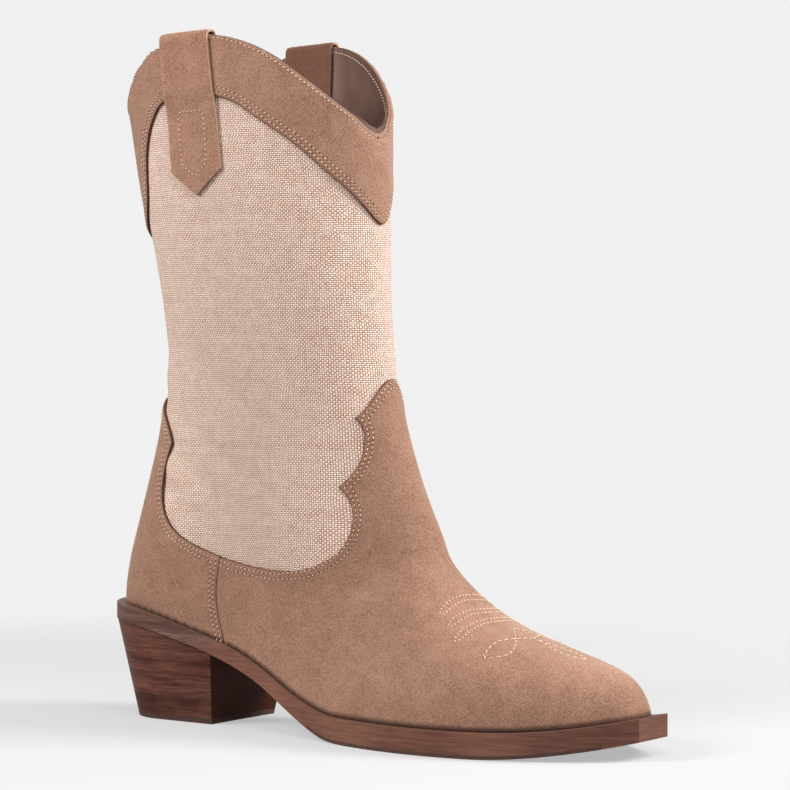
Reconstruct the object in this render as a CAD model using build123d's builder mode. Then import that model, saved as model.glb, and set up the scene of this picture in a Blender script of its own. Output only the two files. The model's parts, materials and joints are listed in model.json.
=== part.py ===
"""Right western boot: suede and canvas uppers, leather lining, stacked heel.

Frame: X runs from heel to toe, Y to the wearer's left (the medial side of a right boot), Z up.
The origin is on the floor under the centre of the heel seat's round end. Millimetres.
"""

from build123d import *
import math
import os

os.makedirs("parts", exist_ok=True)

# ---------------------------------------------------------------- driving dimensions
SUEDE = 1.4  # thickness of the suede cover pieces
MIDDLE = 0.8  # canvas, stiffeners and interlinings share this thickness
LINING = 1.0
GAP = 0.1  # glue line between neighbouring layers
STRAP = 1.6
STRAP_SLACK = 0.4  # how far a pull strap stands off the walls it is sewn to
STRAP_WIDTH = 27.5
STRAP_LEAN = -0.05  # dx/dz of a pull strap, which follows the shaft's own lean
BOARD = 2.5
SOCK = 1.2
SHANK_FROM = 4
SHANK_TO = 112
SHANK_WIDTH = 13
EDGE_THICKNESS = 10.8  # sole edge at the ball of the foot
TREAD = 1.5
TOP_PIECE = 2.5  # rubber under the heel
LIFTS = 8
HEEL_TOP = 46.5  # height that the stack of lifts is cut from
HEEL_FLOOR = (1.5, 22.8, 33.3)  # centre x, radius and front x of the heel's outline on the floor
HEEL_SEAT = (0.0, 31.8, 39.5)  # the same at HEEL_TOP
NAIL_RADIUS = 1.0
SCREW_RADIUS = 2.0
HOLE_CLEARANCE = 0.05
FAR = 400  # larger than any part of the boot

# Inset of each layer's faces from the outer surface of the upper.
OUTER = 0.0
MIDDLE_OUT = SUEDE + GAP
MIDDLE_IN = MIDDLE_OUT + MIDDLE
LINING_OUT = MIDDLE_IN + GAP
LINING_IN = LINING_OUT + LINING
STRAP_OUTSIDE = -(STRAP_SLACK + STRAP)
STRAP_INSIDE = LINING_IN + STRAP_SLACK + STRAP

# Heights above the top face of the sole.
SHANK_LOW = 0.1
SHANK_HIGH = 1.3
BOARD_LOW = SUEDE + GAP
BOARD_HIGH = BOARD_LOW + BOARD
LINING_LOW = BOARD_HIGH + GAP
SOCK_HIGH = LINING_LOW + SOCK

# The upper's sections, from the top of the shaft round the ankle to the toe: the front point and
# the back point (x, z) of each, its lateral and medial half-widths, and its centre in y.
STATIONS = [
    ((111, 324), (-31, 324), 47.2, 47.2, 0),
    ((111.5, 275), (-22, 275), 44.6, 44.6, 0),
    ((112, 228), (-13, 228), 42, 42, 0),
    ((114, 183), (-3, 183), 37.5, 37.5, 0),
    ((118.5, 149), (-3, 143), 33.5, 33.5, 0),
    ((125.5, 125), (-13.5, 102), 32, 32, 0),
    ((132, 109), (-23, 68), 32, 31.5, 0),
    ((138, 97), (-25.5, 41), 31, 30, 0),
    ((142.5, 88), (-16, 18), 29.5, 28, 0),
    ((145, 81), (30, 4), 29, 25.5, 0),
    ((151, 71.5), (85, -8), 34, 29, 0.3),
    ((163, 59.5), (130, -13), 42.5, 37.5, 1),
    ((183, 49), (175, -14), 42, 40, 2),
    ((204, 42.5), (203, -13), 36, 36, 3),
    ((224, 37), (224, -11), 26, 26.5, 3.6),
    ((236.5, 30), (236.5, -8), 15.5, 17, 4),
    ((242, 21), (242, -4), 10.5, 11, 4.2),
]
HALF_STEPS = 8  # points on each half of a section


def upper_body(inset):
    """Closed body inside the upper's outer surface, every wall moved in by `inset`."""
    last = len(STATIONS) - 1
    with BuildPart() as body:
        for index, (front, back, lateral, medial, centre) in enumerate(STATIONS):
            setback = inset * max(0, 1 - (last - index) / 3)  # the toe end moves back too
            front = (front[0] - setback, front[1])
            back = (back[0] - setback, back[1])
            length = math.dist(front, back)
            ux = (front[0] - back[0]) / length
            uz = (front[1] - back[1]) / length
            widest = 0.52 + 0.1 * index / last
            front_power = 1.9 + 0.5 * (index / last) ** 2
            back_power = 2.1 + 0.9 * min(1, max(0, (index - 2) / 4))
            outline = []
            for step in range(2 * HALF_STEPS):
                angle = math.pi * (0.5 + step / HALF_STEPS)
                along, across = math.cos(angle), math.sin(angle)
                power = front_power if along > 0 else back_power
                reach = widest if along > 0 else 1 - widest
                width = (medial if across > 0 else lateral) - inset
                half = length * reach - inset
                u = math.copysign(half * abs(along) ** (2 / power), along)
                v = math.copysign(width * abs(across) ** (2 / power), across)
                outline.append((u, centre + v))
            back_half = outline[: HALF_STEPS + 1]
            front_half = outline[HALF_STEPS:] + outline[:1]
            middle_x = front[0] - ux * length * widest
            middle_z = front[1] - uz * length * widest
            plane = Plane(origin=(middle_x, 0, middle_z), x_dir=(ux, 0, uz), z_dir=(-uz, 0, ux))
            with BuildSketch(plane):
                with BuildLine():
                    Spline(*back_half, tangents=[(-1, 0), (1, 0)])
                    Spline(*front_half, tangents=[(1, 0), (-1, 0)])
                make_face()
        loft()
    return body.part


def profile_curve(knots, level):
    """Side profile of the sole raised by `level`: a curve, the flat under the ball, the toe spring."""
    heel_side, flat_from, flat_to, toe_side = knots
    raised = [(x, z + level) for x, z in heel_side]
    start = (flat_from[0], flat_from[1] + level)
    end = (flat_to[0], flat_to[1] + level)
    Spline(*raised, start, tangents=[(1, -0.1), (1, 0)])
    Line(start, end)
    Spline(end, *[(x, z + level) for x, z in toe_side], tangents=[(1, 0), (1, 0.28)])
    return (raised[0], (toe_side[-1][0], toe_side[-1][1] + level))


SOLE_TOP = (
    [(-40, 53), (-5, 50.2), (20, 45), (45, 37.8), (66, 28.8), (86, 18), (101, 12.6)],
    (120, EDGE_THICKNESS),
    (180, EDGE_THICKNESS),
    [(220, 13), (256, 20)],
)
SOLE_BOTTOM = (
    [(-40, 46), (-5, 43.2), (20, 38), (45, 30.6), (66, 21.2), (84, 10.5), (100, 3.2)],
    (124, 0),
    (184, 0),
    [(222, 3), (256, 10.2)],
)


def above_profile(knots, level):
    """Everything higher than a side profile raised by `level`."""
    with BuildPart() as region:
        with BuildSketch(Plane.XZ):
            with BuildLine():
                start, end = profile_curve(knots, level)
                Polyline(end, (end[0], FAR), (start[0], FAR), start)
            make_face()
        extrude(amount=FAR / 2, both=True)
    return region.part


def side_region(*edges):
    """Prism along Y from a closed side outline: each edge is a list of (x, z) knots."""
    with BuildPart() as region:
        with BuildSketch(Plane.XZ):
            with BuildLine():
                for edge in edges:
                    if len(edge) == 2:
                        Line(*edge)
                    else:
                        Spline(*edge)
            make_face()
        extrude(amount=FAR / 2, both=True)
    return region.part


# ---------------------------------------------------------------- plan of the sole
SEAT_RADIUS = 31.8
LATERAL_EDGE = [(28, -31), (52, -30.3), (76, -31), (104, -37), (134, -44.2), (160, -45.9), (184, -43)]
LATERAL_EDGE += [(206, -35.6), (226, -24.6)]
MEDIAL_EDGE = [(28, 30.4), (52, 27.2), (76, 25.2), (104, 28), (134, 37), (160, 43.6), (184, 44.6)]
MEDIAL_EDGE += [(206, 40.2), (226, 30.6)]
TIP_LATERAL = (247.8, -7.3)
TIP_MEDIAL = (247.8, 15.7)
TREAD_FROM = 96
TREAD_TO = 236

with BuildPart() as sole_plan:  # round heel, lateral and medial edges, squared tip
    with BuildSketch(Plane.XY.offset(-5)):
        with BuildLine():
            seat_lateral = (0, -SEAT_RADIUS)
            seat_medial = (0, SEAT_RADIUS)
            ThreePointArc(seat_lateral, (-SEAT_RADIUS, 0), seat_medial)
            Spline(seat_medial, *MEDIAL_EDGE, TIP_MEDIAL, tangents=[(1, 0), (1, -0.95)])
            Line(TIP_MEDIAL, TIP_LATERAL)
            Spline(
                TIP_LATERAL,
                *reversed(LATERAL_EDGE),
                seat_lateral,
                tangents=[(-1, -0.95), (-1, 0)],
            )
        make_face()
    extrude(amount=FAR)

# ---------------------------------------------------------------- seam lines, side view
RIM_PEAK = (46, 307)
RIM_BACK = [(-16, 274.6), (-9, 280.8), (-2, 287.5), (8, 295), (20, 301), (34, 305.5), RIM_PEAK]
RIM_FRONT = [RIM_PEAK, (58, 305.5), (69, 302), (79, 296.5), (90, 287.5), (99, 278.5), (106, 270)]
RIM_BACK_END = (-40, 256)  # the rim runs straight across the back and front centre lines
RIM_FRONT_END = (124, 229)
COLLAR_SEAM_X = 39.5
COLLAR_LOW_FRONT = [(COLLAR_SEAM_X, 281), (52, 280), (62, 276.8), (70, 271.5), (79, 265)]
COLLAR_LOW_FRONT += [(88, 258), (97.5, 248), (105, 239), (110.5, 229), (113, 220), (122, 185)]
COLLAR_LOW_BACK = [(COLLAR_SEAM_X, 281), (30, 280), (22, 277), (15, 272), (9.5, 265), (6, 256)]
COLLAR_LOW_BACK += [(4.5, 247), (3.5, 238), (0, 228), (-7, 219), (-14, 212), (-40, 190)]
TONGUE_EDGE = [(126, 172), (117.5, 157.5), (114, 146), (109.5, 139)]
UPPER_SCALLOP = [(109.5, 139), (112.5, 134.5), (113.5, 127), (112, 119), (108.5, 113.5), (104, 109)]
LOWER_SCALLOP = [(104, 109), (109, 104), (111, 96.5), (109, 87), (102, 79), (93, 74.3), (81, 72)]
LOWER_SCALLOP += [(65, 72.7), (48, 76), (33, 80.5), (21, 85.7), (13, 92.7), (9.5, 101)]
LOWER_SCALLOP += [(9.5, 111), (12, 120), (15, 126)]
BACK_PEAK_EDGE = [(15, 126), (12, 132.5), (7.5, 138), (2, 143.5), (-3.5, 149), (-30, 176)]
SIDE_SEAM = [(46.5, 90), (45.3, 76), (42.3, 60), (43.4, 48), (47, 34), (56, 0)]
CANVAS_LOW = [(140, 158), (122, 140), (120.5, 118), (119, 94), (110, 75), (95, 66), (78, 63)]
CANVAS_LOW += [(62, 64), (46, 67.5), (28, 73), (12, 80), (2, 91), (0, 104), (1, 118), (-4, 132)]
CANVAS_LOW += [(-30, 156)]
CANVAS_HIGH = [(140, 215), (112, 240), (103, 254), (90, 268), (75, 279), (58, 287), (40, 290)]
CANVAS_HIGH += [(24, 288), (8, 281), (-3, 268), (-9, 250), (-15, 236), (-50, 215)]
STIFFENER_TOP = [(-60, 84), (-22, 82), (0, 72), (25, 64), (50, 54), (74, 40), (84, 20), (86, 0)]
PUFF_BACK = [(188, 80), (186, 60), (192, 40), (205, 20), (214, 0)]
SHAFT_LINING_LOW = [(160, 150), (118, 128), (90, 114), (50, 108), (10, 108), (-60, 112)]



def shell(outside, inside, low):
    """Layer of the upper between two insets, standing `low` above the sole's top face."""
    with BuildPart() as layer:
        add(upper_body(outside))
        add(upper_body(inside), mode=Mode.SUBTRACT)
        add(above_profile(SOLE_TOP, low), mode=Mode.INTERSECT)
    return layer.part


above_rim_back = side_region(
    [RIM_BACK_END, RIM_BACK[0]],
    RIM_BACK,
    [RIM_PEAK, (RIM_PEAK[0], FAR)],
    [(RIM_PEAK[0], FAR), (RIM_BACK_END[0], FAR)],
    [(RIM_BACK_END[0], FAR), RIM_BACK_END],
)
above_rim_front = side_region(
    RIM_FRONT,
    [RIM_FRONT[-1], RIM_FRONT_END],
    [RIM_FRONT_END, (300, RIM_FRONT_END[1])],
    [(300, RIM_FRONT_END[1]), (300, FAR)],
    [(300, FAR), (RIM_PEAK[0], FAR)],
    [(RIM_PEAK[0], FAR), RIM_PEAK],
)
foot_region = side_region(
    TONGUE_EDGE,
    UPPER_SCALLOP,
    LOWER_SCALLOP,
    BACK_PEAK_EDGE,
    [BACK_PEAK_EDGE[-1], (-60, 160)],
    [(-60, 160), (-60, -20)],
    [(-60, -20), (280, -20)],
    [(280, -20), (280, 120)],
    [(280, 120), TONGUE_EDGE[0]],
)
behind_seam = side_region(
    SIDE_SEAM,
    [SIDE_SEAM[-1], (56, -20)],
    [(56, -20), (-60, -20)],
    [(-60, -20), (-60, 200)],
    [(-60, 200), (46.5, 200)],
    [(46.5, 200), SIDE_SEAM[0]],
)


with BuildPart() as suede_layer:
    add(shell(OUTER, SUEDE, 0))
    add(above_rim_back, mode=Mode.SUBTRACT)
    add(above_rim_front, mode=Mode.SUBTRACT)

with BuildPart() as middle_layer:
    add(shell(MIDDLE_OUT, MIDDLE_IN, BOARD_LOW))
    add(above_rim_back, mode=Mode.SUBTRACT)
    add(above_rim_front, mode=Mode.SUBTRACT)

with BuildPart() as lining_layer:
    add(shell(LINING_OUT, LINING_IN, LINING_LOW))
    add(above_rim_back, mode=Mode.SUBTRACT)
    add(above_rim_front, mode=Mode.SUBTRACT)


def flat_layer(low, high, inset):
    """Flat layer inside the upper, between two heights above the sole."""
    with BuildPart() as layer:
        add(upper_body(inset))
        add(above_profile(SOLE_TOP, low), mode=Mode.INTERSECT)
        add(above_profile(SOLE_TOP, high), mode=Mode.SUBTRACT)
    return layer.part


def finish(part, name, colour):
    part.label = name
    part.color = Color(*colour)
    export_step(part, f"parts/{name}.step")


TAN = (0.62, 0.47, 0.36)
CREAM = (0.80, 0.70, 0.63)
LINING_BROWN = (0.52, 0.42, 0.36)
SOLE_BROWN = (0.36, 0.20, 0.14)
BOARD_BUFF = (0.70, 0.62, 0.48)
STEEL = (0.60, 0.60, 0.62)
RUBBER = (0.08, 0.07, 0.07)


# ---------------------------------------------------------------- suede pieces
with BuildPart() as vamp:
    add(suede_layer.part)
    add(foot_region, mode=Mode.INTERSECT)
    add(behind_seam, mode=Mode.SUBTRACT)
finish(vamp.part, "vamp", TAN)

with BuildPart() as heel_foxing:
    add(suede_layer.part)
    add(foot_region, mode=Mode.INTERSECT)
    add(behind_seam, mode=Mode.INTERSECT)
finish(heel_foxing.part, "heel_foxing", TAN)

front_collar_region = side_region(
    COLLAR_LOW_FRONT,
    [COLLAR_LOW_FRONT[-1], (200, 185)],
    [(200, 185), (200, 330)],
    [(200, 330), (COLLAR_SEAM_X, 330)],
    [(COLLAR_SEAM_X, 330), COLLAR_LOW_FRONT[0]],
)
with BuildPart() as front_collar:
    add(suede_layer.part)
    add(front_collar_region, mode=Mode.INTERSECT)
finish(front_collar.part, "front_collar", TAN)

back_collar_region = side_region(
    COLLAR_LOW_BACK,
    [COLLAR_LOW_BACK[-1], (-80, 190)],
    [(-80, 190), (-80, 330)],
    [(-80, 330), (COLLAR_SEAM_X, 330)],
    [(COLLAR_SEAM_X, 330), COLLAR_LOW_BACK[0]],
)
with BuildPart() as back_collar:
    add(suede_layer.part)
    add(back_collar_region, mode=Mode.INTERSECT)
finish(back_collar.part, "back_collar", TAN)

# ---------------------------------------------------------------- canvas shaft and its stiffeners
canvas_region = side_region(
    CANVAS_LOW,
    [CANVAS_LOW[-1], (-50, 215)],
    list(reversed(CANVAS_HIGH)),
    [CANVAS_HIGH[0], CANVAS_LOW[0]],
)
for side, keep in (("lateral", Keep.TOP), ("medial", Keep.BOTTOM)):
    with BuildPart() as canvas_panel:
        add(middle_layer.part)
        add(canvas_region, mode=Mode.INTERSECT)
        split(bisect_by=Plane.XZ, keep=keep)
    finish(canvas_panel.part, f"{side}_canvas_panel", CREAM)

above_canvas = side_region(
    CANVAS_HIGH,
    [CANVAS_HIGH[-1], (-80, 215)],
    [(-80, 215), (-80, 330)],
    [(-80, 330), (200, 330)],
    [(200, 330), (200, 215)],
    [(200, 215), CANVAS_HIGH[0]],
)
with BuildPart() as topline_reinforcement:
    add(middle_layer.part)
    add(above_canvas, mode=Mode.INTERSECT)
finish(topline_reinforcement.part, "topline_reinforcement", BOARD_BUFF)

stiffener_region = side_region(
    STIFFENER_TOP,
    [STIFFENER_TOP[-1], (-60, 0)],
    [(-60, 0), STIFFENER_TOP[0]],
)
with BuildPart() as heel_stiffener:
    add(middle_layer.part)
    add(stiffener_region, mode=Mode.INTERSECT)
finish(heel_stiffener.part, "heel_stiffener", BOARD_BUFF)

puff_region = side_region(
    PUFF_BACK,
    [PUFF_BACK[-1], (280, 0)],
    [(280, 0), (280, 80)],
    [(280, 80), PUFF_BACK[0]],
)
with BuildPart() as toe_puff:
    add(middle_layer.part)
    add(puff_region, mode=Mode.INTERSECT)
finish(toe_puff.part, "toe_puff", BOARD_BUFF)

below_canvas = side_region(
    CANVAS_LOW,
    [CANVAS_LOW[-1], (-80, 156)],
    [(-80, 156), (-80, -20)],
    [(-80, -20), (280, -20)],
    [(280, -20), (280, 158)],
    [(280, 158), CANVAS_LOW[0]],
)
with BuildPart() as vamp_interlining:
    add(middle_layer.part)
    add(below_canvas, mode=Mode.INTERSECT)
    add(stiffener_region, mode=Mode.SUBTRACT)
    add(puff_region, mode=Mode.SUBTRACT)
finish(vamp_interlining.part, "vamp_interlining", CREAM)

# ---------------------------------------------------------------- leather lining
shaft_lining_region = side_region(
    SHAFT_LINING_LOW,
    [SHAFT_LINING_LOW[-1], (-60, 330)],
    [(-60, 330), (160, 330)],
    [(160, 330), SHAFT_LINING_LOW[0]],
)
for side, keep in (("lateral", Keep.TOP), ("medial", Keep.BOTTOM)):
    with BuildPart() as shaft_lining:
        add(lining_layer.part)
        add(shaft_lining_region, mode=Mode.INTERSECT)
        split(bisect_by=Plane.XZ, keep=keep)
    finish(shaft_lining.part, f"{side}_shaft_lining", LINING_BROWN)

with BuildPart() as vamp_lining:
    add(lining_layer.part)
    add(shaft_lining_region, mode=Mode.SUBTRACT)
    add(behind_seam, mode=Mode.SUBTRACT)
finish(vamp_lining.part, "vamp_lining", LINING_BROWN)

with BuildPart() as heel_lining:
    add(lining_layer.part)
    add(shaft_lining_region, mode=Mode.SUBTRACT)
    add(behind_seam, mode=Mode.INTERSECT)
finish(heel_lining.part, "heel_lining", LINING_BROWN)

# ---------------------------------------------------------------- pull straps
# Each strap is one ribbon folded over the rim: a pointed leg outside, a plain leg inside.
STRAP_CENTRE = 38.5  # x of the fold
STRAP_TOP = 309.6
STRAP_TIP = 236.3
STRAP_SHOULDER = 250.5
STRAP_INNER_END = 262


def strap_point(across, height):
    """Side-view point `across` the strap from its centre line, at `height`."""
    lean = -STRAP_LEAN
    return (STRAP_CENTRE + across + lean * (STRAP_TOP - height), height + lean * across)


half_strap = STRAP_WIDTH / 2
strap_outline = [
    strap_point(-half_strap, STRAP_TOP),
    strap_point(half_strap, STRAP_TOP),
    strap_point(half_strap, STRAP_SHOULDER),
    strap_point(0, STRAP_TIP),
    strap_point(-half_strap, STRAP_SHOULDER),
]
gap_outline = [
    strap_point(-half_strap - 5, STRAP_TOP - STRAP),
    strap_point(half_strap + 5, STRAP_TOP - STRAP),
    strap_point(half_strap + 5, STRAP_TIP - 5),
    strap_point(-half_strap - 5, STRAP_TIP - 5),
]
inner_end_outline = [
    strap_point(-half_strap - 5, STRAP_INNER_END),
    strap_point(half_strap + 5, STRAP_INNER_END),
    strap_point(half_strap + 5, STRAP_TIP - 5),
    strap_point(-half_strap - 5, STRAP_TIP - 5),
]


def side_polygon(points):
    """Prism along Y from a straight-edged side outline."""
    with BuildPart() as region:
        with BuildSketch(Plane.XZ):
            with BuildLine():
                Polyline(*points, close=True)
            make_face()
        extrude(amount=FAR / 2, both=True)
    return region.part


with BuildPart() as wall_space:  # where the shaft wall and the slack run between the two legs
    add(upper_body(-STRAP_SLACK))
    add(upper_body(LINING_IN + STRAP_SLACK), mode=Mode.SUBTRACT)
    add(side_polygon(gap_outline), mode=Mode.INTERSECT)
with BuildPart() as inner_leg_cut:
    add(upper_body(MIDDLE_OUT))
    add(side_polygon(inner_end_outline), mode=Mode.INTERSECT)
with BuildPart() as strap_pair:
    add(upper_body(STRAP_OUTSIDE))
    add(upper_body(STRAP_INSIDE), mode=Mode.SUBTRACT)
    add(side_polygon(strap_outline), mode=Mode.INTERSECT)
    add(wall_space.part, mode=Mode.SUBTRACT)
    add(inner_leg_cut.part, mode=Mode.SUBTRACT)

for side, keep in (("lateral", Keep.TOP), ("medial", Keep.BOTTOM)):
    with BuildPart() as pull_strap:
        add(strap_pair.part)
        split(bisect_by=Plane.XZ, keep=keep)
    finish(pull_strap.part, f"{side}_pull_strap", TAN)

# ---------------------------------------------------------------- heel nails, screw and rivets
NAIL_PLACES = [(-10, 0), (-4, 11), (-4, -11), (9, 11), (9, -11)]
NAIL_LOW = 16
SCREW_PLACE = [(0, 0)]
SCREW_LOW = 12
RIVET_PLACES = [(18, 0), (98, 0)]
RIVET_RADIUS = 2.0
BRAD_PLACES = [(-14, 0), (2, 15), (2, -15), (25, 15), (25, -15)]
BRAD_RADIUS = 0.6
BRAD_LOW = 0.5
BRAD_HIGH = 9


def pins(places, radius, low, high):
    """Round pins standing on the given (x, y) places between two heights."""
    with BuildPart() as group:
        with BuildSketch(Plane.XY.offset(low)):
            with Locations(*places):
                Circle(radius)
        extrude(amount=high - low)
    return group.part


above_board = above_profile(SOLE_TOP, BOARD_HIGH)
heel_pins = (("heel_nails", NAIL_PLACES, NAIL_RADIUS, NAIL_LOW),)
heel_pins += (("heel_screw", SCREW_PLACE, SCREW_RADIUS, SCREW_LOW),)
for name, places, radius, low in heel_pins:
    with BuildPart() as driven_pins:
        add(pins(places, radius, low, 80))
        add(above_board, mode=Mode.SUBTRACT)
    finish(driven_pins.part, name, STEEL)
with BuildPart() as heel_pin_holes:
    add(pins(NAIL_PLACES, NAIL_RADIUS + HOLE_CLEARANCE, NAIL_LOW - HOLE_CLEARANCE, 80))
    add(pins(SCREW_PLACE, SCREW_RADIUS + HOLE_CLEARANCE, SCREW_LOW - HOLE_CLEARANCE, 80))

with BuildPart() as shank_rivets:
    add(pins(RIVET_PLACES, RIVET_RADIUS, 0, 80))
    add(above_profile(SOLE_TOP, SHANK_LOW), mode=Mode.INTERSECT)
    add(above_board, mode=Mode.SUBTRACT)
finish(shank_rivets.part, "shank_rivets", STEEL)
rivet_holes = pins(RIVET_PLACES, RIVET_RADIUS + HOLE_CLEARANCE, 0, 80)

top_piece_brads = pins(BRAD_PLACES, BRAD_RADIUS, BRAD_LOW, BRAD_HIGH)
finish(top_piece_brads, "top_piece_brads", STEEL)
brad_holes = pins(BRAD_PLACES, BRAD_RADIUS + HOLE_CLEARANCE, -1, BRAD_HIGH + HOLE_CLEARANCE)

# ---------------------------------------------------------------- insole, shank and filler
with BuildPart() as shank_strip:
    with BuildSketch(Plane.XY):
        with Locations(((SHANK_FROM + SHANK_TO) / 2, 0)):
            SlotOverall(SHANK_TO - SHANK_FROM, SHANK_WIDTH)
    extrude(amount=FAR)

with BuildPart() as steel_shank:
    add(shank_strip.part)
    add(above_profile(SOLE_TOP, SHANK_LOW), mode=Mode.INTERSECT)
    add(above_profile(SOLE_TOP, SHANK_HIGH), mode=Mode.SUBTRACT)
    add(rivet_holes, mode=Mode.SUBTRACT)
finish(steel_shank.part, "steel_shank", STEEL)

with BuildPart() as insole_board:
    add(flat_layer(BOARD_LOW, BOARD_HIGH, MIDDLE_IN + GAP))
    add(heel_pin_holes.part, mode=Mode.SUBTRACT)
    add(rivet_holes, mode=Mode.SUBTRACT)
finish(insole_board.part, "insole_board", BOARD_BUFF)

with BuildPart() as sole_filler:
    add(flat_layer(0, SUEDE, MIDDLE_OUT))
    add(shank_strip.part, mode=Mode.SUBTRACT)
    add(heel_pin_holes.part, mode=Mode.SUBTRACT)
finish(sole_filler.part, "sole_filler", BOARD_BUFF)

with BuildPart() as sock_liner:
    add(flat_layer(LINING_LOW, SOCK_HIGH, LINING_IN + GAP))
finish(sock_liner.part, "sock_liner", LINING_BROWN)

# ---------------------------------------------------------------- sole
with BuildPart() as tread_space:
    add(sole_plan.part)
    add(above_profile(SOLE_BOTTOM, TREAD), mode=Mode.SUBTRACT)
    with BuildSketch(Plane.XY.offset(-5)):
        with Locations(((TREAD_FROM + TREAD_TO) / 2, 0)):
            Rectangle(TREAD_TO - TREAD_FROM, 200)
    extrude(amount=FAR, mode=Mode.INTERSECT)

with BuildPart() as tread_layer:
    add(tread_space.part)
    add(above_profile(SOLE_BOTTOM, 0), mode=Mode.INTERSECT)
finish(tread_layer.part, "tread_layer", RUBBER)

with BuildPart() as midsole:
    add(sole_plan.part)
    add(above_profile(SOLE_BOTTOM, 0), mode=Mode.INTERSECT)
    add(above_profile(SOLE_TOP, 0), mode=Mode.SUBTRACT)
    add(tread_space.part, mode=Mode.SUBTRACT)
    add(heel_pin_holes.part, mode=Mode.SUBTRACT)
finish(midsole.part, "midsole", SOLE_BROWN)

# ---------------------------------------------------------------- stacked heel
with BuildPart() as heel_body:
    for height, (centre, radius, front) in ((0, HEEL_FLOOR), (HEEL_TOP, HEEL_SEAT)):
        with BuildSketch(Plane.XY.offset(height)):
            with BuildLine():
                ThreePointArc((centre, -radius), (centre - radius, 0), (centre, radius))
                Polyline((centre, radius), (front, radius), (front, -radius), (centre, -radius))
            make_face()
    loft(ruled=True)
    add(above_profile(SOLE_BOTTOM, 0), mode=Mode.SUBTRACT)
    add(heel_pin_holes.part, mode=Mode.SUBTRACT)
    add(brad_holes, mode=Mode.SUBTRACT)

lift_height = (HEEL_TOP - TOP_PIECE) / LIFTS
heel_slices = [("heel_top_piece", 0, TOP_PIECE, RUBBER)]
for number in range(LIFTS):
    low = TOP_PIECE + number * lift_height
    heel_slices.append((f"heel_lift_{number + 1}", low, low + lift_height, SOLE_BROWN))
for name, low, high, colour in heel_slices:
    with BuildPart() as heel_slice:
        add(heel_body.part)
        with BuildSketch(Plane.XY.offset(low)):
            Rectangle(200, 200)
        extrude(amount=high - low, mode=Mode.INTERSECT)
    finish(heel_slice.part, name, colour)
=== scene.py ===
"""Looks for the western boot: suede, canvas, lining, stitching, pull straps, sole and heel.

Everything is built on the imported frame, in metres. X runs to the toe, Y to the medial side, Z up.
Sheets of suede, canvas and lining are regridded from the CAD pieces by rays that fan out from a
spine running down the shaft, round the ankle and along the foot to the toe.
"""
import json
import math

import bpy
import numpy as np
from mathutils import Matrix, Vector, noise
from mathutils.bvhtree import BVHTree
from mathutils.kdtree import KDTree

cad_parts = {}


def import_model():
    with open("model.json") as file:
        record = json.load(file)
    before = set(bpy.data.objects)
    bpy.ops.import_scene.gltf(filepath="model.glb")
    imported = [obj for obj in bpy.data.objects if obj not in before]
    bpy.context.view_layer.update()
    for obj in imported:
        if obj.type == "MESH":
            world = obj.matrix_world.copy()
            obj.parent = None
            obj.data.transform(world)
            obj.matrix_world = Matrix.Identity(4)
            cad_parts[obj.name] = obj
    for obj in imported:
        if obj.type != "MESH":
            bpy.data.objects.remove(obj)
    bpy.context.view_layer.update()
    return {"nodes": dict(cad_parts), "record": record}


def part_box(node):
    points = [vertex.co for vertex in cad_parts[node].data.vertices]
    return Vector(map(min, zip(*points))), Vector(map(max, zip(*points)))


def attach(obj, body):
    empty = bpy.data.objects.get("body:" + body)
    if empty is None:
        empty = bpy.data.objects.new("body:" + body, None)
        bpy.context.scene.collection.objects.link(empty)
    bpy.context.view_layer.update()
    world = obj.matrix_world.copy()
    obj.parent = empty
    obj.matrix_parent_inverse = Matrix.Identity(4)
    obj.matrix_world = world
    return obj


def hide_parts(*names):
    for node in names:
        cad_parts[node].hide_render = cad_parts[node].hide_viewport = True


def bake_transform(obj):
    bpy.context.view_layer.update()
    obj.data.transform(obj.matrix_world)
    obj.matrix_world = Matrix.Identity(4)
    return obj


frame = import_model()
nodes = frame["nodes"]
MM = 0.001

SUEDE_OUTER = ("vamp", "heel_foxing", "front_collar", "back_collar")
CANVAS = ("lateral_canvas_panel", "medial_canvas_panel")
LININGS = ("lateral_shaft_lining", "medial_shaft_lining", "vamp_lining", "heel_lining")

# ------------------------------------------------------------------ ray grid
# Spine stations: share of the way, centre x and z in mm, tilt of the section and lean to the toe in
# degrees.
SPINE = np.array(
    (
        (0.00, 44, 318, 0, 0),
        (0.16, 47, 250, 0, 0),
        (0.32, 53, 180, 0, 0),
        (0.42, 57, 136, 4, 0),
        (0.54, 62, 88, 24, 0),
        (0.64, 88, 60, 52, 0),
        (0.73, 130, 32, 78, 0),
        (0.84, 185, 20, 90, 0),
        (0.93, 222, 18, 90, 10),
        (1.00, 224, 18, 90, 84),
    ),
    float,
)
ANKLE = 3  # station at the bottom of the straight shaft
TOE_CENTRE_Y = 4.0 * MM
TOE_TURN_START, TOE_TURN_LENGTH = 80, 150  # stretch of x, in mm, over which the spine moves to it
CELL = 1.3 * MM
ROWS = int(0.60 / CELL)
COLUMNS = int(0.33 / CELL)
REACH = 130 * MM
CORE = 3 * MM  # rays from outside stop this far short of the spine
BISECTIONS = 9
NEAR_CORNER = 0.12  # share of a cell within which a cut takes over the cell's own corner
SHORTEST_LINE = 7  # points a contour needs to carry stitches
FAR = 1.0  # distance that stands for nowhere near an edge


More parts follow.
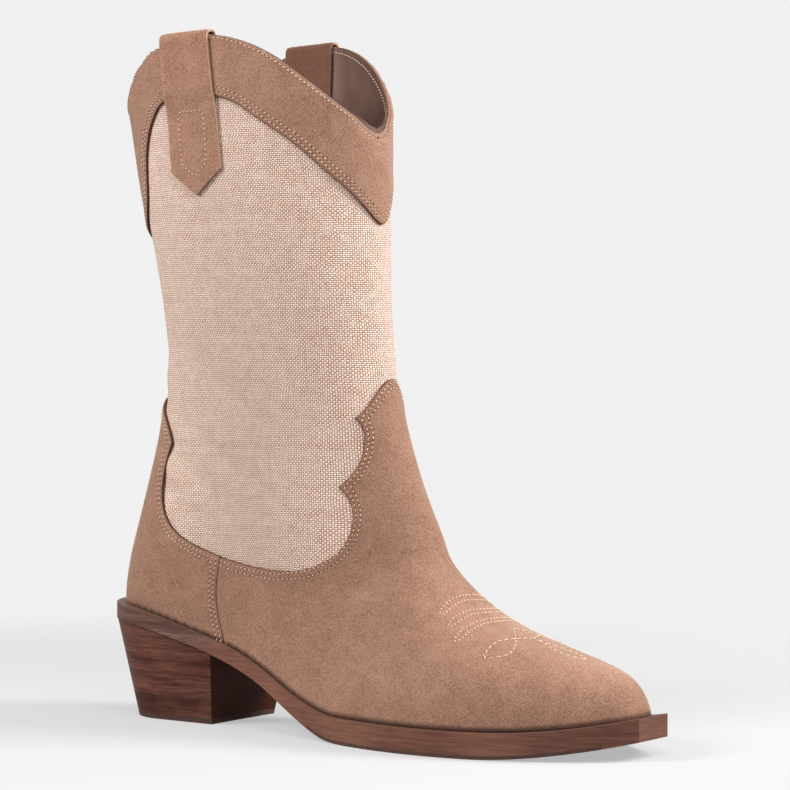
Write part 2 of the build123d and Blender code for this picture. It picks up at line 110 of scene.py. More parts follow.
def ray(row, column):
    """Origin on the spine and outward direction of the grid ray at a (fractional) row and column."""
    share = row / (ROWS - 1)
    x, z, tilt, lean = (np.interp(share, SPINE[:, 0], SPINE[:, k]) for k in range(1, 5))
    tilt, lean = math.radians(tilt), math.radians(lean)
    angle = 2 * math.pi * column / COLUMNS
    forward = Vector((math.cos(tilt), 0, math.sin(tilt)))
    along = Vector((math.sin(tilt), 0, -math.cos(tilt)))
    radial = forward * math.cos(angle) + Vector((0, math.sin(angle), 0))
    centre_y = TOE_CENTRE_Y * min(1.0, max(0.0, (x - TOE_TURN_START) / TOE_TURN_LENGTH))
    return Vector((x * MM, centre_y, z * MM)), radial * math.cos(lean) + along * math.sin(lean)


def pole_ray():
    """The ray the last rows close round, straight out of the toe."""
    _, x, z, tilt, _ = SPINE[-1]
    tilt = math.radians(tilt)
    return Vector((x * MM, TOE_CENTRE_Y, z * MM)), Vector((math.sin(tilt), 0, -math.cos(tilt)))


def join_cad(names):
    """One BVH over several CAD nodes, and the node that owns each of its triangles."""
    points, faces, owners = [], [], []
    for name in names:
        mesh = nodes[name].data
        base = len(points)
        points.extend(v.co.copy() for v in mesh.vertices)
        for polygon in mesh.polygons:
            faces.append([base + i for i in polygon.vertices])
            owners.append(name)
    return BVHTree.FromPolygons(points, faces), owners


def mesh_object(name, points, faces, material, smooth=True):
    mesh = bpy.data.meshes.new(name)
    mesh.from_pydata([tuple(p) for p in points], [], faces)
    mesh.validate()
    mesh.update()
    obj = bpy.data.objects.new(name, mesh)
    bpy.context.scene.collection.objects.link(obj)
    mesh.materials.append(material)
    if smooth:
        mesh.polygons.foreach_set("use_smooth", [True] * len(mesh.polygons))
    return obj


def dress(obj, slot, *replaced):
    """The visual piece stands for these CAD nodes, which are hidden; slot is not used."""
    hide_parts(*replaced)


class Sheet:
    """A piece of one layer: grid points on its CAD surface, trimmed exactly at its CAD edges."""

    def __init__(self, surface, members, inside=False):
        self.tree, self.owners = surface
        self.members = set(members)
        self.inside = inside
        self.points, self.faces, self.uv, self.edge_points = [], [], [], []
        self.grid, self.index = {}, {}
        for row in range(ROWS):
            for column in range(COLUMNS):
                point = self.hit(row, column)
                if point is not None:
                    self.grid[row, column] = point
        for row in range(ROWS - 1):
            for column in range(COLUMNS):
                self.fill_cell(row, column)
        self.close_pole()
        self.points = np.array([tuple(p) for p in self.points])
        self.uv = np.array(self.uv, float)
        self.normals = self.vertex_normals()

    def cast(self, origin, out):
        """Where a spine ray meets this piece: from inside for a lining, from outside for a cover."""
        if self.inside:
            found = self.tree.ray_cast(origin, out, REACH)
        else:
            found = self.tree.ray_cast(origin + out * REACH, -out, REACH - CORE)
        if found[0] is not None and self.owners[found[2]] in self.members:
            return found[0]
        return None

    def hit(self, row, column):
        return self.cast(*ray(row, column))

    def vertex(self, key, point, row, column):
        """Number of the vertex kept under a key, made on first use."""
        if key not in self.index:
            self.index[key] = len(self.points)
            self.points.append(point)
            self.uv.append((column, row))
        return self.index[key]

    def corner(self, row, column):
        wrapped = column % COLUMNS
        return self.vertex((row, wrapped), self.grid[row, wrapped], row, column)

    def crossing(self, a, b):
        """Vertex where the piece ends between grid corner a, inside it, and b, outside."""
        key = ("cut", a[0], a[1] % COLUMNS, b[0], b[1] % COLUMNS)
        if key in self.index:
            return self.index[key]

        def place(share):
            return a[0] + (b[0] - a[0]) * share, a[1] + (b[1] - a[1]) * share

        inner, outer = 0.0, 1.0
        best = self.grid[a[0], a[1] % COLUMNS]
        for _ in range(BISECTIONS):
            middle = (inner + outer) / 2
            point = self.hit(*place(middle))
            if point is None:
                outer = middle
            else:
                inner, best = middle, point
        self.edge_points.append(best)
        if inner < NEAR_CORNER:  # too near to make a sound face: the corner's own vertex moves
            self.index[key] = self.corner(*a)
            self.points[self.index[key]] = best
            return self.index[key]
        return self.vertex(key, best, *place(inner))

    def fill_cell(self, row, column):
        """Face of one grid cell: whole, cut where the piece ends, or none."""
        corners = [(row, column), (row, column + 1), (row + 1, column + 1), (row + 1, column)]
        present = [(r, c % COLUMNS) in self.grid for r, c in corners]
        outline = []
        for k in range(4):
            here, there = corners[k], corners[(k + 1) % 4]
            if present[k]:
                outline.append(self.corner(*here))
                if not present[(k + 1) % 4]:
                    outline.append(self.crossing(here, there))
            elif present[(k + 1) % 4]:
                outline.append(self.crossing(there, here))
        outline = [v for k, v in enumerate(outline) if v != outline[k - 1]]
        if len(outline) >= 3 and len(set(outline)) == len(outline):
            self.faces.append(outline)

    def close_pole(self):
        """Fan from the last row to the point straight ahead of it, where the piece has one."""
        last = ROWS - 1
        point = self.cast(*pole_ray())
        if point is None:
            return
        pole = self.vertex("pole", point, last, 0)
        for column in range(COLUMNS):
            following = (column + 1) % COLUMNS
            if (last, column) in self.grid and (last, following) in self.grid:
                self.faces.append([self.corner(last, column), self.corner(last, following), pole])

    def vertex_normals(self):
        """Normals that point out of the boot, or into it for a lining; faces are turned to match."""
        normals = np.zeros_like(self.points)
        for face in self.faces:
            a, b, c = self.points[face[0]], self.points[face[1]], self.points[face[2]]
            across, up = b - a, c - a
            if len(face) == 4:
                across, up = c - a, self.points[face[3]] - b
            normals[face] += np.cross(across, up)
        length = np.linalg.norm(normals, axis=1, keepdims=True)
        normals /= np.maximum(length, 1e-12)
        middle = len(self.points) // 2
        column, row = self.uv[middle]
        origin, _ = ray(row, column)
        outward = np.dot(normals[middle], self.points[middle] - np.array(origin)) > 0
        if outward == self.inside:
            self.faces = [list(reversed(f)) for f in self.faces]
            normals = -normals
        return normals

    def distance(self, keep):
        """Distance of every point to the piece's own edge, counting only edge points kept."""
        kept = [p for p in self.edge_points if keep(p)]
        if not kept:
            return np.full(len(self.points), FAR)
        tree = KDTree(len(kept))
        for k, p in enumerate(kept):
            tree.insert(p, k)
        tree.balance()
        return np.array([tree.find(Vector(p))[2] for p in self.points])

    def shell(self, name, thickness, material, height):
        """Closed object: the sheet raised by height along its normals, and a back face below it."""
        front = self.points + self.normals * np.reshape(height, (-1, 1))
        back = self.points - self.normals * thickness
        obj = mesh_object(name, np.vstack([front, back]), two_sided(self.faces, len(front)), material)
        obj.data.set_sharp_from_angle(angle=math.radians(50))
        return obj

    def weave_uv(self, obj):
        """Thread coordinates: arc round the shaft's axis and height, so that the weave hangs straight."""
        x, y, z = self.points.T
        (_, top_x, top_z, _, _), (_, ankle_x, ankle_z, _, _) = SPINE[0] * MM, SPINE[ANKLE] * MM
        axis = np.interp(z, (ankle_z, top_z), (ankle_x, top_x))
        around = np.tile(np.arctan2(y, x - axis) * WEAVE_RADIUS, 2)
        along = np.tile(z, 2)
        layer = obj.data.uv_layers.new(name="weave")
        full = 2 * math.pi * WEAVE_RADIUS
        for polygon in obj.data.polygons:
            us = [around[v] for v in polygon.vertices]
            wraps = max(us) - min(us) > full / 2
            for loop, v, u in zip(polygon.loop_indices, polygon.vertices, us):
                layer.data[loop].uv = (u + full if wraps and u < 0 else u, along[v])


def two_sided(faces, count):
    """Faces of a sheet, the same faces reversed for the back's points, and a wall round the edge.

    The back's points follow the sheet's own count of points.
    """
    edges = dict.fromkeys((a, b) for face in faces for a, b in zip(face, face[1:] + face[:1]))
    back = [[v + count for v in reversed(face)] for face in faces]
    wall = [[b, a, a + count, b + count] for a, b in edges if (b, a) not in edges]
    return [list(face) for face in faces] + back + wall


def store(obj, name, values, back=None):
    """Number for the material at each point of a shell; back stands for its whole back face."""
    hidden = values if back is None else np.full(len(values), back)
    attribute = obj.data.attributes.new(name, "FLOAT", "POINT")
    attribute.data.foreach_set("value", np.concatenate([values, hidden]).astype(np.float32))


def contour(sheet, field, level):
    """Lines on the sheet where field equals level, as lists of (point, normal)."""
    links, places = {}, {}
    for face in sheet.faces:
        cuts = []
        for a, b in zip(face, face[1:] + face[:1]):
            above_a, above_b = field[a] - level, field[b] - level
            if (above_a < 0) != (above_b < 0):
                key = (min(a, b), max(a, b))
                share = above_a / (above_a - above_b)
                if key not in places:
                    point = sheet.points[a] * (1 - share) + sheet.points[b] * share
                    normal = sheet.normals[a] * (1 - share) + sheet.normals[b] * share
                    places[key] = (Vector(point), Vector(normal).normalized())
                cuts.append(key)
        if len(cuts) == 2:
            links.setdefault(cuts[0], []).append(cuts[1])
            links.setdefault(cuts[1], []).append(cuts[0])
    lines, seen = [], set()
    open_ends = [k for k in links if len(links[k]) == 1]
    for start in open_ends + list(links):
        if start in seen:
            continue
        line, following = [], [start]
        while following:
            here = following[0]
            seen.add(here)
            line.append(here)
            following = [k for k in links[here] if k not in seen]
        if len(line) >= SHORTEST_LINE:
            lines.append([places[k] for k in line])
    return lines


def resample(line, pitch):
    """Evenly spaced (point, normal, direction) along a line, after light smoothing."""
    points = np.array([tuple(p) for p, _ in line])
    normals = np.array([tuple(n) for _, n in line])
    for _ in range(2):
        points[1:-1] = points[1:-1] * 0.5 + (points[:-2] + points[2:]) * 0.25
    steps = np.linalg.norm(np.diff(points, axis=0), axis=1)
    travelled = np.concatenate([[0], np.cumsum(steps)])
    count = int(travelled[-1] / pitch)
    if count < 2:
        return []
    places = (np.arange(count) + 0.5) * travelled[-1] / count
    reach = pitch * 0.4

    def at(values, where):
        return np.stack([np.interp(where, travelled, values[:, k]) for k in range(3)], 1)

    centres = at(points, places)
    ahead = at(points, np.minimum(places + reach, travelled[-1]))
    behind = at(points, np.maximum(places - reach, 0))
    across = at(normals, places)
    return [(Vector(c), Vector(n).normalized(), Vector(d).normalized())
            for c, n, d in zip(centres, across, ahead - behind)]


STITCH_PITCH = 2.2 * MM
STITCH_LENGTH = 1.35 * MM
THREAD_RADIUS = 0.26 * MM
THREAD_LIFT = 0.12 * MM
# Dark marks between the stitches: painted shade that stands for the needle holes.
HOLE_LENGTH = 0.5 * MM
HOLE_RADIUS = 0.17 * MM
HOLE_LIFT = 0.02 * MM
STITCH_RINGS = 7
STITCH_SIDES = 6
# Distance of each row of stitches from the edge it follows.
FIRST_ROW = 1.7 * MM
SECOND_ROW = 3.8 * MM
RIM_ROW = 1.9 * MM
LINING_ROW = 2.6 * MM
GROOVE = 0.55 * MM  # reach of the sunk line, with its painted shade, on each side of a row
ROWS_ON_SUEDE = (("seam", FIRST_ROW), ("seam", SECOND_ROW), ("rim", RIM_ROW))


def stitches(name, spots, material, lift, radius, length):
    """Short thread pieces that dive into the material at both ends, one at each spot."""
    points, faces = [], []
    for centre, normal, direction in spots:
        side = normal.cross(direction).normalized()
        base = len(points)
        for ring in range(STITCH_RINGS):
            share = ring / (STITCH_RINGS - 1) * 2 - 1
            bow = 1 - share * share
            middle = centre + direction * share * length / 2
            middle = middle + normal * (lift + radius * (1.5 * bow - 1.2))
            girth = radius * (0.72 + 0.28 * math.sqrt(bow))
            for k in range(STITCH_SIDES):
                angle = 2 * math.pi * k / STITCH_SIDES
                points.append(middle + (side * math.cos(angle) + normal * math.sin(angle)) * girth)
        for ring in range(STITCH_RINGS - 1):
            for k in range(STITCH_SIDES):
                a = base + ring * STITCH_SIDES + k
                b = base + ring * STITCH_SIDES + (k + 1) % STITCH_SIDES
                faces.append([a, b, b + STITCH_SIDES, a + STITCH_SIDES])
        last = base + (STITCH_RINGS - 1) * STITCH_SIDES
        faces.append([base + k for k in reversed(range(STITCH_SIDES))])
        faces.append([last + k for k in range(STITCH_SIDES)])
    return mesh_object(name, points, faces, material)


def stitched(name, lines, thread, pitch=STITCH_PITCH, length=STITCH_LENGTH, radius=THREAD_RADIUS):
    """Rows of thread and, between the stitches, dark marks of painted shade for the needle holes; both ride
    on the boot.
    """
    spots, holes = [], []
    for line in lines:
        row = resample(line, pitch)
        spots += row
        for (a, normal, direction), (b, _, _) in zip(row, row[1:]):
            if (b - a).length < 1.5 * pitch:
                holes.append(((a + b) / 2, normal, direction))
    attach(stitches(f"{name}_stitching", spots, thread, THREAD_LIFT, radius, length), "root")
    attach(stitches(f"{name}_painted_hole_shades", holes, HOLE_SHADE, HOLE_LIFT, HOLE_RADIUS, HOLE_LENGTH), "root")


# ------------------------------------------------------------------ materials
class Material:
    """A node material with short calls for the nodes used here."""

    def __init__(self, name, roughness):
        self.material = bpy.data.materials.new(name)
        self.material.use_nodes = True
        self.tree = self.material.node_tree
        self.shader = self.tree.nodes["Principled BSDF"]
        self.last_bump = None
        self.surface({"Roughness": roughness})

    def surface(self, inputs):
        """Fixed values of the shader's own inputs."""
        for key, value in inputs.items():
            self.shader.inputs[key].default_value = value

    def node(self, kind, **settings):
        made = self.tree.nodes.new(kind)
        for key, value in settings.items():
            setattr(made, key, value)
        return made

    def set(self, socket, value):
        """Link a socket to another node's output, or give it a number."""
        if hasattr(value, "links"):
            self.tree.links.new(value, socket)
        else:
            socket.default_value = value

    def math(self, operation, *values, clamp=False):
        made = self.node("ShaderNodeMath", operation=operation, use_clamp=clamp)
        for socket, value in zip(made.inputs, values):
            self.set(socket, value)
        return made.outputs[0]

    def total(self, *parts):
        """Sum of (value, weight) parts, kept within 0 and 1."""
        weighted = [self.math("MULTIPLY", value, weight) for value, weight in parts]
        result = weighted[0]
        for part in weighted[1:]:
            result = self.math("ADD", result, part, clamp=True)
        return result

    def split(self, vector):
        """The x, y and z outputs of a vector."""
        made = self.node("ShaderNodeSeparateXYZ")
        self.set(made.inputs[0], vector)
        return tuple(made.outputs)

    def join(self, *parts):
        made = self.node("ShaderNodeCombineXYZ")
        for socket, value in zip(made.inputs, parts):
            self.set(socket, value)
        return made.outputs[0]

    def position(self, scale=(1, 1, 1)):
        coordinates = self.node("ShaderNodeTexCoord").outputs["Object"]
        mapping = self.node("ShaderNodeMapping")
        self.set(mapping.inputs["Vector"], coordinates)
        mapping.inputs["Scale"].default_value = scale
        return mapping.outputs[0]

    def facing(self):
        """The x, y and z of the surface's normal."""
        return self.split(self.node("ShaderNodeNewGeometry").outputs["Normal"])

    def noise(self, scale, detail, vector=None, roughness=0.5):
        made = self.node("ShaderNodeTexNoise")
        self.set(made.inputs["Vector"], self.position() if vector is None else vector)
        made.inputs["Scale"].default_value = scale
        made.inputs["Detail"].default_value = detail
        made.inputs["Roughness"].default_value = roughness
        return made.outputs[0]

    def ramp(self, value, low, high, out_low=0.0, out_high=1.0):
        """Smooth step from out_low to out_high as the value goes from low to high."""
        made = self.node("ShaderNodeMapRange", interpolation_type="SMOOTHSTEP")
        numbers = {"Value": value, "From Min": low, "From Max": high, "To Min": out_low, "To Max": out_high}
        for key, number in numbers.items():
            self.set(made.inputs[key], number)
        return made.outputs[0]

    def mix(self, share, first, second):
        """Colour that goes from first to second with share."""
        made = self.node("ShaderNodeMix", data_type="RGBA")
        for socket, value in zip((0, 6, 7), (share, first, second)):
            self.set(made.inputs[socket], value)
        return made.outputs[2]

    def attribute(self, name):
        return self.node("ShaderNodeAttribute", attribute_name=name).outputs["Fac"]

    def colour(self, value):
        self.set(self.shader.inputs["Base Color"], value)

    def bump(self, height, distance, strength=1.0):
        """Relief laid over any relief given before."""
        made = self.node("ShaderNodeBump")
        self.set(made.inputs["Height"], height)
        made.inputs["Distance"].default_value = distance
        made.inputs["Strength"].default_value = strength
        if self.last_bump is not None:
            self.set(made.inputs["Normal"], self.last_bump)
        self.last_bump = made.outputs[0]
        self.set(self.shader.inputs["Normal"], self.last_bump)


def srgb(r, g, b):
    """Linear colour with alpha from 0-255 display values."""
    def linear(c):
        c /= 255
        return c / 12.92 if c <= 0.04045 else ((c + 0.055) / 1.055) ** 2.4
    return (linear(r), linear(g), linear(b), 1)


def darker(colour, share):
    return tuple(c * share for c in colour[:3]) + (1,)


def suede_material(name, dark, light, cut):
    """Brushed suede: fine nap, a faint sunk line along each stitch row with painted shade in it, its own
    colour on cut edges.

    The piece's attributes give the distance to its edge, to its seams, to the rim and to the sole.
    """
    m = Material(name, 0.95)
    nap = m.noise(1500, 2)
    clouds = m.ramp(m.noise(28, 4), 0.32, 0.68)
    brushed = m.ramp(m.noise(140, 3), 0.3, 0.7)
    share = m.total((clouds, 0.16), (brushed, 0.18), (m.ramp(nap, 0.3, 0.7, 0.02, 0.66), 1))
    base = m.mix(share, dark, light)
    groove = 0.0
    for attribute, row in ROWS_ON_SUEDE:
        away = m.math("ABSOLUTE", m.math("SUBTRACT", m.attribute(attribute), row))
        groove = m.math("MAXIMUM", groove, m.ramp(away, 0.1 * MM, GROOVE, 1.0, 0.0))
    # Painted shade: the colour darkens along each sunk stitch row.
    base = m.mix(m.math("MULTIPLY", groove, 0.16), base, srgb(104, 70, 54))
    base = m.mix(m.ramp(m.attribute("edge"), 0.1 * MM, 0.7 * MM), cut, base)
    # Painted shade: the suede darkens towards the sole, in the gap where the upper meets it.
    base = m.mix(m.ramp(m.attribute("foot"), 1.4 * MM, 3.4 * MM), srgb(44, 25, 19), base)
    # Painted shade: the strap's inner leg, inside the shaft, is darkened.
    base = m.mix(m.ramp(m.attribute("inner"), 0.3, 0.7, 0, 0.75), base, srgb(84, 52, 42))
    m.colour(base)
    m.surface({
        "Sheen Weight": 0.6, "Sheen Roughness": 0.35, "Sheen Tint": srgb(240, 218, 204),
        "Specular IOR Level": 0.12,
    })
    m.bump(m.math("MULTIPLY", groove, -1.0), 0.25 * MM)
    m.bump(m.noise(420, 3), 0.4 * MM, 0.5)
    m.bump(nap, 0.22 * MM, 0.8)
    m.bump(m.noise(3200, 2), 0.1 * MM, 0.7)
    return m.material


WEAVE_RADIUS = 50 * MM
THREADS_ROUND = 348
THREAD_PITCH = 2 * math.pi * WEAVE_RADIUS / THREADS_ROUND


def canvas_material():
    """Plain weave of uneven thick threads with painted shade in the gaps at the crossings."""
    m = Material("canvas", 0.92)
    weave = m.node("ShaderNodeUVMap", uv_map="weave").outputs[0]
    wobble = m.node("ShaderNodeTexNoise")
    wobble.inputs["Scale"].default_value = 110
    m.set(wobble.inputs["Vector"], weave)
    shifted = m.node("ShaderNodeVectorMath", operation="MULTIPLY_ADD")
    for socket, value in zip(shifted.inputs, (wobble.outputs["Color"], (1.2 * MM, 1.2 * MM, 0), weave)):
        m.set(socket, value)
    around, along, _ = m.split(shifted.outputs[0])
    u, v = m.math("DIVIDE", around, THREAD_PITCH), m.math("DIVIDE", along, THREAD_PITCH)
    row, column = m.math("FLOOR", v), m.math("FLOOR", u)
    parity = m.math("ABSOLUTE", m.math("MODULO", m.math("ADD", row, column), 2))

    def from_middle(threads):
        """Distance from the middle line of the thread, 0 to 1 at its edges."""
        return m.math("ABSOLUTE", m.math("SUBTRACT", m.math("MULTIPLY", m.math("FRACT", threads), 2), 1))

    def strand(width, length):
        """Height of a thread that crosses over here: round across, domed along."""
        round_part = m.math("SUBTRACT", 1, m.math("POWER", width, 2.4))
        dome = m.math("SUBTRACT", 1, m.math("MULTIPLY", m.math("POWER", length, 2), 0.6))
        return m.math("MULTIPLY", round_part, dome)

    def choose(first, second):
        """Value for the warp where it lies on top, or for the weft."""
        made = m.node("ShaderNodeMix", data_type="FLOAT")
        for socket, value in zip((0, 2, 3), (parity, first, second)):
            m.set(made.inputs[socket], value)
        return made.outputs[0]

    def chance(a, b):
        """Random number, the same for the same pair."""
        made = m.node("ShaderNodeTexWhiteNoise", noise_dimensions="2D")
        m.set(made.inputs["Vector"], m.join(a, b))
        return made.outputs["Value"]

    wide, tall = from_middle(u), from_middle(v)
    height = choose(strand(wide, tall), strand(tall, wide))
    thread = choose(chance(column, 3.7), chance(row, 91.3))
    slub = m.ramp(m.noise(170, 3, weave), 0.3, 0.7)
    fibre = m.noise(2600, 2)
    fuzz = m.math("SUBTRACT", fibre, 0.5)
    share = m.total((thread, 0.25), (chance(row, column), 0.40), (slub, 0.25), (fuzz, 0.4))
    warp = m.mix(share, srgb(246, 215, 197), srgb(255, 247, 236))
    weft = m.mix(share, srgb(200, 151, 127), srgb(252, 218, 198))
    # Painted shade: the colour darkens where the threads sink between the crossings.
    m.colour(m.mix(m.ramp(height, 0.10, 0.60), srgb(118, 74, 56), m.mix(parity, warp, weft)))
    m.surface({"Sheen Weight": 0.25, "Sheen Tint": srgb(255, 240, 232), "Specular IOR Level": 0.15})
    m.bump(height, 0.5 * MM, 0.9)
    m.bump(fibre, 0.12 * MM, 0.6)
    return m.material


def lining_material():
    """Smooth brown leather with a pebbled grain."""
    m = Material("lining_leather", 0.5)
    m.colour(m.mix(m.ramp(m.noise(35, 4), 0.3, 0.7), srgb(74, 50, 41), srgb(98, 70, 59)))
    m.surface({"Specular IOR Level": 0.35})
    pebbles = m.node("ShaderNodeTexVoronoi")
    m.set(pebbles.inputs["Vector"], m.position())
    pebbles.inputs["Scale"].default_value = 900
    m.bump(pebbles.outputs["Distance"], 0.12 * MM, 0.6)
    m.bump(m.noise(300, 3), 0.2 * MM, 0.4)
    return m.material


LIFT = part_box("heel_lift_1")[1].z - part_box("heel_lift_1")[0].z


def level_lines(m):
    """Wide and thin bands of stacked leather: noise drawn out level, on slightly wavy heights."""
    x, y, z = m.split(m.position())
    wave = m.math("MULTIPLY", m.math("SUBTRACT", m.noise(14, 2), 0.5), 4 * MM)
    drawn_out = m.join(m.math("MULTIPLY", x, 0.07), m.math("MULTIPLY", y, 0.07), m.math("ADD", z, wave))
    return m.noise(150, 2, drawn_out), m.noise(1300, 4, drawn_out, 0.65)


def sole_edge_material():
    """Stained leather edge with streaks along it, turning to the heel's banding over the heel."""
    m = Material("sole_edge", 0.4)
    along = m.noise(60, 5, m.position((1, 1, 14)))
    fine = m.noise(240, 3, m.position((0.6, 0.6, 9)))
    share = m.total((m.ramp(along, 0.3, 0.7), 0.5), (m.ramp(m.noise(22, 3), 0.3, 0.7), 0.5))
    sole = m.mix(share, srgb(88, 50, 38), srgb(128, 85, 67))
    sole = m.mix(m.ramp(fine, 0.5, 0.75, 0, 0.5), sole, srgb(84, 48, 38))
    wide, thin = level_lines(m)
    heel = m.mix(m.ramp(wide, 0.35, 0.65), srgb(84, 53, 44), srgb(130, 94, 81))
    heel = m.mix(m.ramp(thin, 0.42, 0.62, 0, 0.55), heel, srgb(62, 36, 29))
    x, _, _ = m.split(m.position())
    edge = m.mix(m.ramp(x, 30 * MM, 46 * MM), heel, sole)
    _, _, upward = m.facing()
    m.colour(m.mix(m.ramp(upward, 0.35, 0.75, 0, 0.75), edge, srgb(120, 88, 74)))
    m.surface({"Specular IOR Level": 0.4})
    m.bump(along, 0.25 * MM, 0.5)
    m.bump(fine, 0.15 * MM, 0.6)
    return m.material


def heel_material():
    """Stacked leather: level bands, a dark line at each joint, lighter to the top, painted shade on the
    breast.
    """
    m = Material("heel_stack", 0.45)
    wide, thin = level_lines(m)
    _, _, z = m.split(m.position())
    smudge = m.noise(60, 4, m.position((0.8, 0.8, 2.0)))
    base = m.mix(m.ramp(wide, 0.34, 0.66), srgb(70, 38, 30), srgb(112, 71, 59))
    base = m.mix(m.ramp(thin, 0.42, 0.60, 0, 0.55), base, srgb(54, 28, 22))
    off_middle = m.math("ABSOLUTE", m.math("SUBTRACT", m.math("FRACT", m.math("DIVIDE", z, LIFT)), 0.5))
    base = m.mix(m.ramp(off_middle, 0.36, 0.50, 0, 0.40), base, srgb(46, 24, 18))
    base = m.mix(m.ramp(smudge, 0.5, 0.72, 0, 0.25), base, srgb(130, 88, 74))
    base = m.mix(m.ramp(z, 25 * MM, 55 * MM, 0, 0.30), base, srgb(138, 98, 84))
    # Painted shade: faces turned towards the toe, the breast, are darkened.
    forward, _, _ = m.facing()
    m.colour(m.mix(m.ramp(forward, 0.5, 0.8, 0, 0.9), base, srgb(66, 28, 14)))
    m.surface({"Specular IOR Level": 0.12})
    m.bump(thin, 0.3 * MM, 0.7)
    m.bump(wide, 0.4 * MM, 0.4)
    return m.material


def tread_material():
    """Thin rubber: brown like the sole on its edge, near black and finely pitted underneath."""
    m = Material("tread_rubber", 0.7)
    speckle = m.ramp(m.noise(700, 3), 0.3, 0.7)
    under = m.mix(speckle, srgb(26, 21, 20), srgb(40, 33, 31))
    edge = m.mix(speckle, srgb(62, 36, 29), srgb(78, 48, 38))
    _, _, upward = m.facing()
    m.colour(m.mix(m.ramp(upward, -0.6, -0.3), under, edge))
    m.bump(m.noise(1500, 2), 0.1 * MM, 0.5)
    return m.material


def plain_material(name, colour, roughness, metallic=0.0, grain=600):
    """One colour, mottled, with a fine grain."""
    m = Material(name, roughness)
    m.colour(m.mix(m.ramp(m.noise(grain, 3), 0.3, 0.7), darker(colour, 0.6), colour))
    m.surface({"Metallic": metallic})
    m.bump(m.noise(grain * 2, 2), 0.1 * MM, 0.5)
    return m.material


def thread_material(name, colour):
    m = Material(name, 0.7)
    m.colour(m.mix(m.ramp(m.noise(900, 2), 0.3, 0.7), darker(colour, 0.72), colour))
    m.surface({"Sheen Weight": 0.3})
    m.bump(m.noise(4200, 2), 0.08 * MM, 0.8)
    return m.material


SUEDE = suede_material("suede", srgb(119, 85, 68), srgb(168, 130, 110), srgb(88, 57, 43))
STRAP_SUEDE = suede_material("strap_suede", srgb(116, 81, 65), srgb(168, 129, 109), srgb(172, 134, 112))
CANVAS_WEAVE = canvas_material()
LINING = lining_material()
EDGE_TAPE = plain_material("edge_tape", srgb(150, 114, 94), 0.9, grain=900)
# Painted shade: the colour of the dark marks in the needle holes.
HOLE_SHADE = plain_material("painted_hole_shade", srgb(70, 42, 32), 0.95)
THREAD = thread_material("seam_thread", srgb(220, 184, 158))
TOE_THREAD = thread_material("toe_thread", srgb(228, 192, 162))
SLOT_MATERIALS = {
    "suede": SUEDE,
    "canvas": CANVAS_WEAVE,
    "lining_leather": LINING,
    "sole_leather": sole_edge_material(),
    "heel_leather": heel_material(),
    "tread_rubber": tread_material(),
    "steel": plain_material("steel", srgb(150, 150, 152), 0.35, metallic=1.0),
    "stiffener_board": plain_material("fibre_board", srgb(176, 156, 126), 0.85),
    "cork_filler": plain_material("cork", srgb(150, 112, 76), 0.9, grain=350),
    "interlining": plain_material("cotton_backing", srgb(206, 190, 168), 0.9, grain=900),
}

for part in frame["record"]["subparts"]:
    cad_materials = nodes[part["node"]].data.materials
    cad_materials.clear()
    cad_materials.append(SLOT_MATERIALS[part["material_slot"]])
nodes["topline_reinforcement"].data.materials[0] = EDGE_TAPE

# ------------------------------------------------------------------ uppers
outer_surface = join_cad(SUEDE_OUTER + CANVAS)
canvas_surface = join_cad(CANVAS)
inner_surface = join_cad(LININGS + ("sock_liner",))
SUEDE_THICKNESS = 1.35 * MM
CANVAS_THICKNESS = 0.7 * MM
LINING_THICKNESS = 0.85 * MM
# Half way between the rim and the collar's lower edge: place along the boot and height.
COLLAR_MIDDLE = np.array(
    (
        (-40, 223), (-14, 244), (-7, 252), (0, 262), (3, 268), (6, 274), (9.5, 280), (15, 285),
        (22, 289), (30, 292), (39.5, 293.5), (52, 293), (79, 281), (97.5, 264), (110.5, 246), (124, 205),
    )
) * MM
COLLAR_JOIN_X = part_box("front_collar")[0].x
JOIN_REACH = 1.2 * MM  # edge points this near the collars' side joins carry no stitches
# Side seam between vamp and foxing: height and place along the boot.
SIDE_SEAM = np.array(((34, 47), (48, 43.4), (60, 42.3), (76, 45.3))) * MM
SIDE_SEAM_TOP = 77 * MM
SIDE_SEAM_REACH = 0.7 * MM
VAMP_SOLE_TOP = 71 * MM  # the lowest stitched edge of each piece is above this, its sole edge below
FOXING_SOLE_TOP = 70 * MM
CENTRE_SEAM = 1.5 * MM
TUCK = 2.2 * MM  # how far a cover runs down into the sole
TUCK_REACH = 2.5 * MM


def above_collar_middle(p):
    return p.z > np.interp(p.x, COLLAR_MIDDLE[:, 0], COLLAR_MIDDLE[:, 1])


def at_collar_join(p):
    return abs(p.x - COLLAR_JOIN_X) <= JOIN_REACH


def collar_rim(p):
    return above_collar_middle(p) and not at_collar_join(p)


def collar_lower(p):
    return not above_collar_middle(p) and not at_collar_join(p)


def on_side_seam(p):
    seam_x = np.interp(p.z, SIDE_SEAM[:, 0], SIDE_SEAM[:, 1])
    return p.z < SIDE_SEAM_TOP and abs(p.x - seam_x) < SIDE_SEAM_REACH


def vamp_top(p):
    return p.z > VAMP_SOLE_TOP and not on_side_seam(p)


def vamp_sole(p):
    return p.z < VAMP_SOLE_TOP and not on_side_seam(p)


def foxing_top(p):
    return p.z > FOXING_SOLE_TOP or on_side_seam(p)


def foxing_sole(p):
    return not foxing_top(p)


def lining_rim(p):
    return above_collar_middle(p) and abs(p.y) > CENTRE_SEAM


def lining_front_seam(p):
    return p.x > 95 * MM and abs(p.y) < CENTRE_SEAM and p.z > 150 * MM


def nothing(p):
    return False


